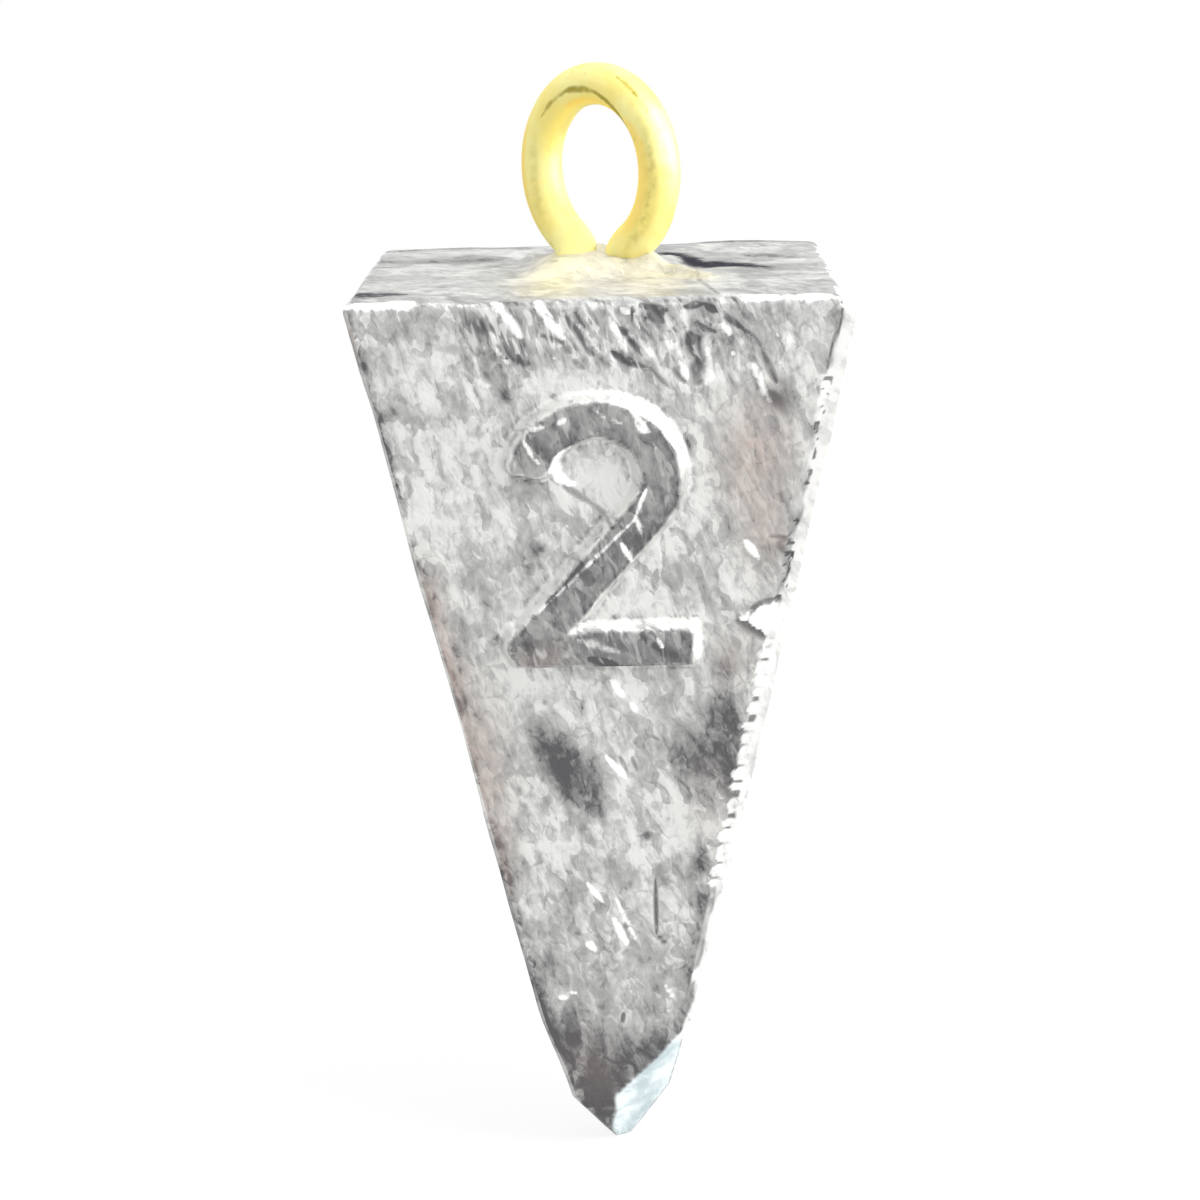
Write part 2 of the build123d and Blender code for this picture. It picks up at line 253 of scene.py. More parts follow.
smudges = (
    ((-2.1, 18.4), (0.8, 0.8), 0.8), ((-1.4, 19.4), (0.8, 1.0), 1.0), ((-0.7, 20.6), (0.6, 1.1), 1.0),
    ((-1.3, 20.2), (0.7, 0.9), 0.8), ((-2.6, 17.4), (0.6, 0.5), 0.6), ((4.6, 16.9), (0.7, 1.1), 0.9),
    ((4.1, 18.4), (1.1, 1.2), 1.0), ((3.1, 19.5), (0.7, 0.8), 0.8), ((4.6, 15.0), (0.5, 0.7), 0.7),
    ((4.7, 19.8), (0.6, 1.0), 0.7), ((3.6, 23.4), (0.4, 0.6), 0.7), ((3.8, 26.2), (0.5, 1.9), 0.95),
    ((3.3, 28.6), (0.35, 1.2), 0.6), ((1.5, 22.3), (0.5, 0.4), 0.5), ((-3.0, 29.3), (0.5, 1.6), 0.65),
    ((-2.1, 31.4), (0.8, 1.4), 0.7), ((-1.0, 33.6), (1.0, 1.6), 0.95), ((0.2, 32.0), (0.7, 0.8), 0.35),
    ((-2.4, 9.9), (0.35, 0.4), 0.6), ((-5.6, 16.5), (0.5, 2.5), 0.35), ((6.6, 4.0), (0.9, 0.7), 0.75),
    ((-3.3, 3.7), (0.35, 0.3), 0.7), ((-7.8, 6.0), (0.25, 1.4), 0.5), ((-1.6, 24.8), (0.35, 0.8), 0.5),
    ((-4.9, 0.9), (0.9, 0.4), 0.5), ((7.8, 13.0), (0.3, 1.0), 0.4),
)
warmths = (
    ((5.9, 6.5), (1.4, 2.2), 0.9), ((6.3, 9.6), (0.9, 1.6), 0.6), ((-6.6, 12.4), (0.6, 1.6), 1.0),
    ((-6.1, 15.5), (0.7, 2.0), 1.0), ((-5.1, 19.5), (1.2, 3.4), 0.95), ((-4.2, 23.5), (0.6, 1.6), 0.6),
    ((-2.4, 14.2), (1.0, 0.5), 0.5), ((3.9, 21.0), (0.8, 1.6), 0.3), ((-1.2, 33.0), (1.2, 2.0), 0.2),
    ((5.0, 14.6), (0.9, 1.2), 0.4),
)
pales = (
    ((-0.1, 7.3), (1.5, 1.2), 1.0), ((3.8, 7.6), (0.45, 2.0), 0.9), ((1.0, 12.4), (1.6, 0.5), 0.8),
    ((-0.5, 3.3), (2.4, 0.5), 0.7), ((-6.2, 2.8), (1.6, 1.0), 0.5), ((-5.2, 7.0), (1.6, 2.0), 0.1),
    ((-3.6, 15.6), (1.2, 1.2), 0.4), ((0.6, 16.6), (0.7, 1.6), 0.5), ((-2.6, 23.0), (0.9, 1.2), 0.6),
    ((2.4, 22.4), (0.8, 0.9), 0.5), ((0.9, 20.4), (0.6, 1.4), 0.5), ((-5.6, 12.0), (0.8, 1.4), 0.4),
)
flakes = (
    ((6.4, 13.1), (0.6, 0.55), 1.0), ((5.95, 12.95), (0.36, 0.4), 0.9), ((6.85, 12.6), (0.4, 0.5), 1.0),
    ((6.75, 13.4), (0.5, 0.45), 0.9), ((6.5, 14.25), (0.42, 0.34), 1.0), ((5.35, 12.9), (0.2, 0.2), 0.9),
)
topLumps = (
    ((-2.6, 2.6), (0.5, 0.5), 0.7), ((2.6, -1.9), (0.6, 0.5), 0.9), ((3.0, 2.2), (0.7, 0.4), 0.5),
)
topDark = (
    ((2.7, 5.8), (3.9, 1.4), 0.7, 1.0), ((3.9, 1.4), (5.9, -0.1), 1.1, 1.0),
    ((5.9, -0.1), (6.8, -1.3), 0.8, 0.8), ((3.8, -3.4), (4.6, -9.0), 0.12, 0.6),
    ((5.8, -8.6), (6.2, -8.7), 0.2, 0.7), ((-9.0, -6.4), (-7.4, -6.8), 1.2, 0.85),
    ((-9.0, 4.6), (-4.0, 3.5), 1.0, 0.6), ((-8.6, -2.0), (-4.6, -1.0), 0.8, 0.5),
    ((6.0, 4.5), (8.6, 2.5), 0.9, 0.55), ((-8.4, 8.6), (-3.4, 8.8), 0.5, 0.6),
    ((3.4, 8.8), (8.8, 8.8), 0.5, 0.7),
)
topCreamPatches = (
    ((-1.6, -4.5), (1.2, 3.6), 1.0), ((2.0, -5.0), (1.8, 3.4), 0.75), ((0.0, -2.0), (2.0, 1.6), 0.6),
)


def castingProfile(s):
    # half-width and level of each ring: straight lines across the tip, up the nose and up the sides,
    # an arc over the rim and a straight line in to the middle
    slope = math.atan(s["topWidth"] * (1 - s["endShare"]) / 2 / s["length"])
    tip = s["topLevel"] - s["length"]
    noseHalf = s["topWidth"] * s["noseShare"] / 2
    noseTop = s["length"] * (1 - s["noseLengthShare"])
    baseHalf = s["topWidth"] / 2 - noseTop * math.tan(slope)
    half = [np.linspace(s["tipHalf"], noseHalf, s["rowsTip"], endpoint=False)]
    level = [np.full(s["rowsTip"], tip)]
    t = np.linspace(0, 1, s["rowsNose"], endpoint=False)
    half.append(noseHalf + (baseHalf - noseHalf) * t)
    level.append(tip + (s["length"] - noseTop) * t)
    depth = np.concatenate([np.arange(a, b, step) for a, b, step in s["sideRows"]] + [[noseTop]])[::-1]
    half.append(s["topWidth"] / 2 - depth * math.tan(slope))
    level.append(s["topLevel"] - depth)
    rr = s["rimRadius"]
    angle = np.linspace(-slope, math.pi / 2, s["rowsRim"])
    rimHalf = s["topWidth"] / 2 - rr * (1 + math.sin(slope)) / math.cos(slope)
    half.append(rimHalf + rr * np.cos(angle))
    level.append(s["topLevel"] - rr + rr * np.sin(angle))
    inward = np.linspace(0, 1, s["rowsTop"] + 1)[1:] ** s["topCrowding"]
    half.append(rimHalf * (1 - inward * s["topShare"]))
    level.append(np.full(s["rowsTop"], s["topLevel"]))
    return np.concatenate(half), np.concatenate(level), slope


def squareColumns(s):
    # round a unit square with rounded corners: each column's corner centre, unit normal and corner radius
    centre, normal, radius = [], [], []
    for k, (flat, bend) in enumerate(zip(s["faceColumns"], s["cornerColumns"])):
        turn = k * math.pi / 2
        spin = np.array([[math.cos(turn), math.sin(turn)], [-math.sin(turn), math.cos(turn)]])
        t = np.linspace(-1, 1, flat)
        along = np.concatenate([t, np.ones(bend)])
        angle = np.concatenate([np.zeros(flat), np.linspace(0, math.pi / 2, bend + 2)[1:-1]])
        centre.append(np.stack([along, -np.ones_like(along)], -1) @ spin)
        normal.append(np.stack([np.sin(angle), -np.cos(angle)], -1) @ spin)
        ends = (s["cornerRadii"][k - 1], s["cornerRadii"][k])
        radius.append(np.concatenate([np.interp(t, (-1, 1), ends), np.full(bend, ends[1])]))
    return np.concatenate(centre), np.concatenate(normal), np.concatenate(radius)


def castingGrid(s):
    # the profile's rings carried round the rounded square, with normals and masks of its front, sides and top
    half, level, slope = castingProfile(s)
    centre, normal, corner = squareColumns(s)
    radius = np.minimum(corner[None, :], half[:, None] * s["cornerShare"])
    p = np.empty((len(half), len(centre), 3))
    p[..., :2] = (half[:, None] - radius)[..., None] * centre + radius[..., None] * normal
    p[..., 2] = level[:, None]
    dh, dz = np.gradient(half), np.gradient(level)
    step = np.hypot(dh, dz)
    out = np.empty_like(p)
    out[..., :2] = (dz / step)[:, None, None] * normal
    out[..., 2] = (-dh / step)[:, None]
    down = (s["topLevel"] - p[..., 2]) / math.cos(slope)
    return SimpleNamespace(
        p=p, out=out, x=p[..., 0], y=p[..., 1], down=down, half=half[:, None], slope=slope,
        centre=centre, normal=normal, side=smooth(0.1, 0.5, down), top=smooth(0.7, 0.98, out[..., 2]),
        front=(normal[:, 1] < -0.999)[None, :] * np.ones_like(down),
    )


def skinRelief(g, s):
    # how far the skin stands out: soft noise, ridged noise under the top edge, and drawn lines and flakes
    push = sum(height * blotch(g.p, size, seed) for height, size, seed in s["swells"])
    height, size, seed = s["fineSwell"]
    push = push + height * blotch(g.p, size, seed) * (0.3 + 0.7 * g.front)

    # wrinkles drawn out along lines that lean down to the right
    across = np.where(np.abs(g.normal[:, 1])[None, :] > 0.7, g.x, g.y)  # along each face
    facing = np.round(g.normal @ (1.0, 2.0))[None, :] * np.ones_like(g.x)  # a number for each face
    along = across * 0.5 + g.down * 0.87
    aside = across * 0.87 - g.down * 0.5 + 0.3 * blotch(g.p, 1.1, 4)
    drawn = np.stack([along / s["wrinkleSize"][0], aside / s["wrinkleSize"][1], facing * 7.3], -1)
    g.wrinkle = 1 - 2.2 * np.abs(blotch(drawn, 1.0, 5))
    lower = smooth(*s["foldEnd"], g.down + 0.9 * blotch(g.p, 1.6, 6))
    middle = smooth(*s["foldLeft"], g.x) * (1 - 0.5 * smooth(*s["foldThin"], g.x))
    middle = middle * (1 - smooth(*s["foldRight"], g.x))
    g.flow = smooth(*s["foldRows"], g.down) * (1 - lower)
    g.flow = g.flow * np.where(g.front > 0, middle, s["otherFaces"])
    push = push + s["wrinkleHeight"] * g.flow * g.wrinkle

    # scratches and pits on the front, as raised and sunk lines; some bright ones are painted highlights on
    # the number's walls and edges and glints on its land
    face = g.front * (1 - g.top)
    sway = 0.1 * blotch(g.p, 0.6, 35)
    g.bright = face * strokes(g.x, g.down, brightLines)
    g.fold = face * strokes(g.x + sway, g.down, paleFolds)
    g.dark = face * np.maximum(strokes(g.x, g.down, darkLines), strokes(g.x + sway, g.down, darkFolds))
    push = push + s["lineHeight"] * np.maximum(g.bright, g.fold) - s["lineHeight"] * g.dark
    torn = 0.14 * blotch(g.p, 0.4, 20)
    ragged = spots(g.x + torn, g.down - torn, flakes) + 0.2 * blotch(g.p, 0.35, 34)
    g.flake = g.front * smooth(0.42, 0.62, ragged)
    return push + s["flakeHeight"] * g.flake


def boxGap(u, v, corner):
    # signed distance to a box with rounded corners, from the distances past its two sides
    u, v = u + corner, v + corner
    return np.hypot(np.maximum(u, 0), np.maximum(v, 0)) + np.minimum(np.maximum(u, v), 0) - corner


def numeralGap(x, down, s):
    # distance from the number's land: the least of those to its hook, bowl, diagonal and foot
    nowhere = 9  # a distance past all others, where a stroke isn't drawn
    bowlDrop, hookDrop = down - s["drop"] - s["bowl"], down - s["drop"] - s["hook"]
    angle = np.degrees(np.arctan2(-bowlDrop, x))
    bowl = np.abs(np.hypot(x, bowlDrop) - s["bowl"]) - s["half"]
    bowl = np.where((angle > -s["slant"]) & (angle < s["lapAngle"]), bowl, nowhere)
    end = math.radians(s["hookTurn"])
    past = -x * math.cos(end) + hookDrop * math.sin(end)
    hook = boxGap(np.abs(np.hypot(x, hookDrop) - s["hook"]) - s["half"], past, s["round"])
    hook = np.where(x < s["lap"], hook, nowhere)
    lean = math.radians(s["slant"])
    start = (s["bowl"] * math.cos(lean), s["drop"] + s["bowl"] + s["bowl"] * math.sin(lean))
    reach = (s["footDrop"] - start[1]) / math.cos(lean)
    along = np.clip((start[0] - x) * math.sin(lean) + (down - start[1]) * math.cos(lean), 0, reach)
    diagonal = np.hypot(x - start[0] + along * math.sin(lean), down - start[1] - along * math.cos(lean))
    foot = boxGap(np.abs(x) - s["footHalf"], np.abs(down - s["footDrop"]) - s["half"], s["footRound"])
    return np.minimum(np.minimum(bowl, hook), np.minimum(diagonal - s["half"], foot))


def raiseNumber(g, push, s):
    # the land at full relief and walls that fall to the face over their run; the skin is fainter there
    nx = g.x + s["waver"] * blotch(g.p, 0.7, 17)
    nd = g.down + s["waver"] * blotch(g.p, 0.7, 18)
    probe = 0.05
    g.gap = numeralGap(nx, nd, s)
    change = numeralGap(nx + probe, nd, s) - numeralGap(nx - probe, nd, s)
    lateral = np.clip(np.abs(change) / (2 * probe), 0, 1)  # 1 beside a stroke, 0 above and below it
    g.wallRun = s["run"] * (s["steepShare"] + (1 - s["steepShare"]) * lateral)
    rise = g.front * (1 - np.clip(g.gap / g.wallRun, 0, 1))
    rise = rise * rise * (3 - 2 * rise) * s["wallEase"] + rise * (1 - s["wallEase"])
    return push * (1 - s["skinLoss"] * rise) + s["relief"] * rise


def beadRow(down, s):
    # uneven beads down the edge: -1 to 1 along each one, its share of the full size, and 1 inside the row
    place = (down - s["firstBead"]) / s["beadPitch"]
    place = place + 1.2 * (1 - np.exp(-np.maximum(place, 0) / 2.5))  # smaller at first
    place = place + 0.16 * np.sin(2.1 * place) + 0.1 * np.sin(5.3 * place + 1)
    number = np.floor(place)
    shares = np.random.default_rng(21).uniform(0.7, 1.0, 64)
    begun = smooth(s["firstBead"] - 0.4, s["firstBead"] + 0.2, down)
    ended = smooth(s["lastBead"] - 0.6, s["lastBead"] + 0.4, down)
    return 2 * (place - number) - 1, shares[number.astype(int) % len(shares)], begun * (1 - ended)


def addFlash(g, p, s):
    # fins pushed out along the diagonal at the two edges of the parting plane, with half-round beads
    # along the near one's inner border
    right, back = np.array([1, -1]) / math.sqrt(2), np.array([1, 1]) / math.sqrt(2)
    toEdge = g.normal @ right  # 1 at the near edge, -1 at the far one
    near, frontSide = (toEdge > 0)[None, :], (g.normal[:, 1] < -0.7)[None, :]
    bend = np.degrees(np.arccos(np.clip(np.abs(toEdge), 0, 1)))[None, :]
    climb = np.clip((1 - bend / 45) / s["rootShare"], 0, 1)  # 0 on the faces, 1 at the fin's outer end
    edgeLine = np.stack([0 * g.down, 0 * g.down, g.down], -1)
    reach = np.interp(g.down, s["at"], s["reach"]) * (1 + s["waver"] * blotch(edgeLine, 1.3, 27))
    reach = reach * np.where(near, 1, s["far"])
    fin = climb * reach
    p[..., :2] += (fin * np.where(near, 1, -1))[..., None] * right
    settle = smooth(0.02, 0.2, climb) * near * smooth(*s["stepRows"][:2], g.down)
    settle = settle * (1 - smooth(*s["stepRows"][2:], g.down))
    p[..., :2] += (s["stepBack"] * settle)[..., None] * back
    past = np.where(climb > 1e-4, fin, g.x - g.half)  # distance past the edge, below 0 on the front
    phase, share, row = beadRow(g.down, s)
    atFlake = np.exp(-(((g.down - s["flakeAt"]) / s["flakeHalf"]) ** 4))
    disc = np.hypot((past - s["beadAt"]) / (s["beadHalf"] * share), phase / 0.8)  # 1 at a bead's border
    bead = np.sqrt(np.maximum(1 - disc * disc, 0)) * row * near * frontSide * (1 - atFlake)

    # where it shows white, which is bright metal with a painted highlight, and the dark crease and gaps
    # between beads, which are painted shadow, and dots along its wandering inner border
    wander = 0.14 + 0.12 * blotch(edgeLine, 1.2, 28) + 0.08 * blotch(edgeLine, 0.45, 29)
    inner = past - (wander + 0.04 * row - 0.5 * atFlake)
    onEdge = near * smooth(0.03, 0.15, reach)
    white = np.where(frontSide, smooth(-0.04, 0.06, inner), smooth(0.05, 0.2, climb)) * onEdge
    white = np.maximum(white, smooth(0.0, 0.3, bead))
    g.white = white + 0.6 * (fin > 0.05) * (toEdge < 0)[None, :]
    broken = np.where(g.down < s["creaseUnbroken"], 1.0, 0.5 + 0.5 * blotch(edgeLine, 0.9, 26))
    crease = np.exp(-(((inner - s["creaseAt"]) / s["creaseHalf"]) ** 2)) * frontSide * onEdge
    g.crease = crease * (1 - atFlake) * np.clip(broken, 0, 1) * (1 - row)
    between = row * frontSide * near * smooth(-0.22, -0.02, past) * (1 - smooth(-0.06, 0.02, inner))
    g.between = between * (1 - smooth(0, 0.25, bead))
    speck = blotch(np.stack([past * 1.6, 0 * g.down, g.down], -1), 0.22, 30)
    dots = smooth(0.05, 0.3, speck) * smooth(0.0, 0.06, past) * (1 - smooth(0.25, 0.4, past))
    dots = dots * near * frontSide * smooth(*s["dotRows"][:2], g.down)
    g.dots = dots * (1 - smooth(*s["dotRows"][2:], g.down))
    return p + s["beadHeight"] * bead[..., None] * np.array(s["beadWay"])


def addCrown(g, p, s):
    # on the top: a ridge along the parting line, a flat-topped mound round the wire, and a few lumps
    along, off = np.abs(g.x - g.y) / math.sqrt(2), np.abs(g.x + g.y) / math.sqrt(2)
    ridge = s["ridgeHeight"] * (1 - smooth(*s["ridgeFall"], along)) * np.exp(-((off / s["ridgeHalf"]) ** 2))
    ridge = ridge * g.top * np.where(g.x > 0, 1.0, s["farRidge"])
    mx, my = (g.x - s["moundAt"][0]) / s["moundHalf"][0], (g.y - s["moundAt"][1]) / s["moundHalf"][1]
    g.mound = np.exp(-(mx**4) - my**4) * (s["moundHeight"] + 0.14 * blotch(p, 0.9, 24))
    lumps = s["lumpHeight"] * g.top * spots(g.x, g.y, topLumps) + g.top * g.mound
    rise = ridge * (0.75 + 0.5 * blotch(p, 1.1, 11)) + lumps + 0.05 * g.top * blotch(p, 1.0, 12)
    return p + rise[..., None] * np.array([0, 0, 1])


def cutGate(g, p, s, body):
    # one flat cut at the tip: what lies beyond a slightly uneven plane is moved back onto it
    turn = math.radians(s["turn"])
    way = np.array([math.sin(turn), -math.cos(turn)])
    edgeHalf = body["topWidth"] / 2 - (body["length"] - s["up"]) * math.tan(g.slope)
    run = edgeHalf * (way[0] - way[1]) - s["setback"]
    cut = np.array([*(way * s["up"]), -run]) / math.hypot(s["up"], run)
    foot = np.array([*(way * s["setback"]), body["topLevel"] - body["length"]])
    g.away = (p - foot) @ cut + s["unevenness"] * blotch(p, 0.9, 13)
    return p - np.maximum(g.away, 0)[..., None] * cut


def rimShine(g, p):
    # worn bright metal along the top edge: most on the front left, less to the front right and behind
    up = g.out[..., 2]
    edge = smooth(0.12, 0.4, up) * (1 - smooth(0.93, 0.999, up))
    edge = edge + (1 - smooth(0.2, 0.5, g.down)) * (g.down > 0)
    place = 0.1 + 0.9 * (1 - smooth(-5.2, -3.6, g.x)) + 0.45 * smooth(4.5, 6.0, g.x)
    place = np.where(g.y < -8.5, place, 0.45)
    return np.clip(edge * place * (0.7 + 0.7 * blotch(p, 0.9, 19)), 0, 1)


def castingMarks(g, p):
    # masks for the material, from the same places as the shapes; noise stands in on the other faces
    wallFoot = np.exp(-(((g.gap - g.wallRun - 0.06) / 0.09) ** 2))
    middle = smooth(-5.5, -3.5, g.x) * (1 - smooth(5.0, 6.5, g.x)) * (g.y < -8)
    fromLeft = g.half + g.x + 0.15 * blotch(p, 0.5, 25)
    elsewhere = [g.side * smooth(0.3, 0.8, blotch(p, size, seed)) for size, seed in ((4.0, 15), (5.0, 16))]
    beforeCut = smooth(-1.1, -0.15, g.away) * (1 - smooth(-0.06, 0.04, g.away))
    return {
        # land: painted dark reflection, the number's smooth top coloured dark as if it mirrored a dark room
        "land": g.front * (1 - smooth(-0.06, 0.06, g.gap)),
        # wall: painted highlight, the number's walls coloured lighter as if lit from the right
        "wall": g.front * smooth(0.0, 0.1, g.gap) * (1 - smooth(g.wallRun * 0.8, g.wallRun + 0.2, g.gap)),
        # outline: painted shade at the foot of the number's walls, and a dark line round its land
        "outline": g.front * np.maximum(0.6 * np.exp(-((g.gap / 0.1) ** 2)), wallFoot),
        "flow": g.flow * g.side,
        "wrinkle": np.clip(g.wrinkle * 0.5 + 0.5, 0, 1),
        # bright: scratches and flakes, with painted highlights and glints on the number
        "bright": np.maximum(g.bright, g.flake),
        "fold": g.fold,
        # dark: pits, streaks and dots, with painted shadow in the flash's crease and between its beads
        "dark": np.maximum.reduce(
            [g.dark, g.top * strokes(g.x, g.y, topDark), g.crease, 0.85 * g.between, g.dots]
        ),
        # flash: the fin's bright metal, painted whiter as a highlight
        "flash": g.white,
        # edge: painted shade along the front face's left edge, away from the light
        "edge": g.front * g.side * (1 - smooth(0.1, 0.55, fromLeft)),
        "gate": smooth(-0.03, 0.08, g.away),
        # gateRim: painted shadow on the face beside the cut at the tip
        "gateRim": beforeCut * smooth(29.5, 31.5, g.down),
        "top": g.top,
        "rim": rimShine(g, p),
        # painted shade over the middle of the rounded top edge, where it would catch light
        "rimShaded": smooth(0.1, 0.5, g.out[..., 2]) * (1 - g.top) * middle,
        # cream and yellow colour on the top, most over the mound round the wire
        "creamPatch": g.top * np.clip(spots(g.x, g.y, topCreamPatches) + 0.8 * g.mound, 0, 1),
        "pale": g.front * spots(g.x, g.down, pales),
        "smudge": np.where(g.front > 0, spots(g.x, g.down, smudges), 0.65 * elsewhere[0]),
        "warm": np.where(g.front > 0, spots(g.x, g.down, warmths), 0.6 * elsewhere[1]),
        "low": smooth(20, 35, g.down),
    }


def castingSurface(s):
    # the grid pushed along its normals by the skin and the number, then leaned, finned, crowned and cut
    g = castingGrid(s)
    push = raiseNumber(g, skinRelief(g, skin), numeral)
    push = push * smooth(0, s["plainTip"], g.p[..., 2] - g.p[0, 0, 2])
    p = g.p + g.out * push[..., None]
    leftward = np.clip(0.5 - 0.5 * g.centre[:, 0] - 0.5 * g.normal[:, 0], 0, 1)[None, :]
    p[..., 0] += s["tipLean"] * smooth(*s["leanRows"], g.down) * leftward
    p = addFlash(g, p, flash)
    p = addCrown(g, p, crown)
    p = cutGate(g, p, gate, s)
    return p + np.array(s["axis"]), castingMarks(g, p)


leadPiece = gridPiece("lead_casting", *castingSurface(casting))
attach(leadPiece, "root")
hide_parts("lead_body")


# brass eye, in mm and degrees
eye = {
    "radius": 0.825, "loop": 3.3, "legAngle": 54.0, "gap": 0.12, "anchor": 5.0, "bendShare": 0.5,
    "dentHeight": 0.014, "drawHeight": 0.008, "nickDepth": 0.02,
    "round": 56, "turnRows": 300, "bendRows": 30, "legRows": 40,
    # the unit below is for the table of scrapes and painted dark reflection
    "scrapeAndReflectionUnit": 40.0,  # degrees round the wire that count as 1 in wireScrapesAndReflection
}
# toned sides, dull bands, and scrapes with a painted dark reflection inside the crown: distance from the
# crown, and degrees round from the wire's outer side
wireTone = (
    ((-5.6, 52), (2.9, 36), 0.9), ((5.7, 108), (2.9, 40), 1.0), ((0.0, 142), (3.0, 24), 0.8),
    ((5.0, 270), (2.5, 40), 0.8), ((-4.0, 290), (3.0, 40), 0.8),
)
wireWear = (
    ((-5.5, 112), (1.8, 16), 0.4), ((-7.0, 100), (0.8, 18), 0.35), ((5.8, 68), (2.6, 18), 0.8),
    ((5.0, 300), (2.0, 25), 0.5),
)
# scrapes, and a painted dark reflection of the room: the lines at 2.5 to 3.7 round, inside the crown
wireScrapesAndReflection = (
    ((1.4, 0.95), (2.4, 0.95), 0.2, 0.9), ((2.6, 0.9), (3.1, 0.9), 0.14, 0.6),
    ((-2.9, 2.6), (-0.8, 2.5), 0.18, 0.8), ((-1.2, 2.5), (0.9, 2.65), 0.26, 0.85),
    ((0.5, 2.6), (3.8, 3.7), 0.26, 0.95), ((-0.9, 0.5), (-0.5, 0.5), 0.16, 0.6),
)


def eyeLeg(s, end):
    # one end of the wire: an arc out of the loop's plane, then a straight leg; positions and tangents
    lean = math.radians(s["legAngle"])
    turn = (math.pi / 2 + lean) * end
    toCross = s["loop"] / math.tan(lean)
    apart = 2 * s["radius"] + s["gap"]
    reach = (2 - s["bendShare"]) * toCross
    bend = math.atan(apart / math.sqrt(reach**2 - (apart / math.sin(lean)) ** 2))
    run = s["bendShare"] * toCross
    start = s["loop"] * np.array([math.cos(turn), math.sin(turn), 0])
    onward = end * np.array([-math.sin(turn), math.cos(turn), 0])
    through = np.array([0, 0, end])
    phi = np.linspace(0, bend, s["bendRows"] + 1)[1:, None]
    arc = start + (onward * np.sin(phi) + through * (1 - np.cos(phi))) * run / math.sin(bend)
    legWay = onward * math.cos(bend) + through * math.sin(bend)
    out = np.linspace(0, (toCross - run) / math.cos(bend) + s["anchor"], s["legRows"] + 1)[1:, None]
    arcWays = onward * np.cos(phi) + through * np.sin(phi)
    path = np.concatenate([arc, arc[-1] + legWay * out])
    return path, np.concatenate([arcWays, np.broadcast_to(legWay, (len(out), 3))])


def eyeSurface(s):
    # a circle carried round most of a ring and down its two legs, roughened by small dents
    turn = math.pi / 2 + math.radians(s["legAngle"])
    angle = np.linspace(-turn, turn, s["turnRows"])
    firstPath, firstWays = eyeLeg(s, -1)
    lastPath, lastWays = eyeLeg(s, 1)
    ring = np.stack([np.cos(angle), np.sin(angle), 0 * angle], -1)
    ringWays = np.stack([-np.sin(angle), np.cos(angle), 0 * angle], -1)
    path = np.concatenate([firstPath[::-1], s["loop"] * ring, lastPath])
    tangent = np.concatenate([-firstWays[::-1], ringWays, lastWays])
    outward = np.pad(ring, ((len(firstPath), len(lastPath)), (0, 0)), mode="edge")
    sideways = np.cross(tangent, outward)

    length = np.concatenate([[0], np.cumsum(np.linalg.norm(np.diff(path, axis=0), axis=1))])
    length = length - length[len(firstPath) + s["turnRows"] // 2]  # from the crown
    around = np.linspace(0, 2 * math.pi, s["round"], endpoint=False)
    length, around = np.meshgrid(length, around, indexing="ij")
    skinWay = np.cos(around)[..., None] * outward[:, None] + np.sin(around)[..., None] * sideways[:, None]
    cover = np.stack([length, 2.0 * np.cos(around), 2.0 * np.sin(around)], -1)
    dents = s["dentHeight"] * blotch(cover, 1.6, 31) + s["drawHeight"] * blotch(cover * (0.25, 1, 1), 0.5, 32)
    dents = dents - s["nickDepth"] * smooth(0.55, 0.9, blotch(cover, 0.9, 33))
    local = path[:, None] + skinWay * (s["radius"] - s["dentHeight"] + dents)[..., None]

    # the loop's own axes: up, to the front right, and along the hole
    up = np.array([0, 0, 1])
    right, hole = np.array([1, -1, 0]) / math.sqrt(2), np.array([1, 1, 0]) / math.sqrt(2)
    degrees = np.degrees(around)
    marks = {
        "toned": spots(length, degrees, wireTone),
        "worn": spots(length, degrees, wireWear),
        # scrapes, and the painted dark reflection inside the crown
        "scrapeAndReflection": strokes(length, degrees / s["scrapeAndReflectionUnit"], wireScrapesAndReflection),
    }
    return local[..., 0:1] * up + local[..., 1:2] * right + local[..., 2:3] * hole, marks


eyePiece = gridPiece("brass_eye", *eyeSurface(eye))
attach(eyePiece, "root")
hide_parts("wire_eye")


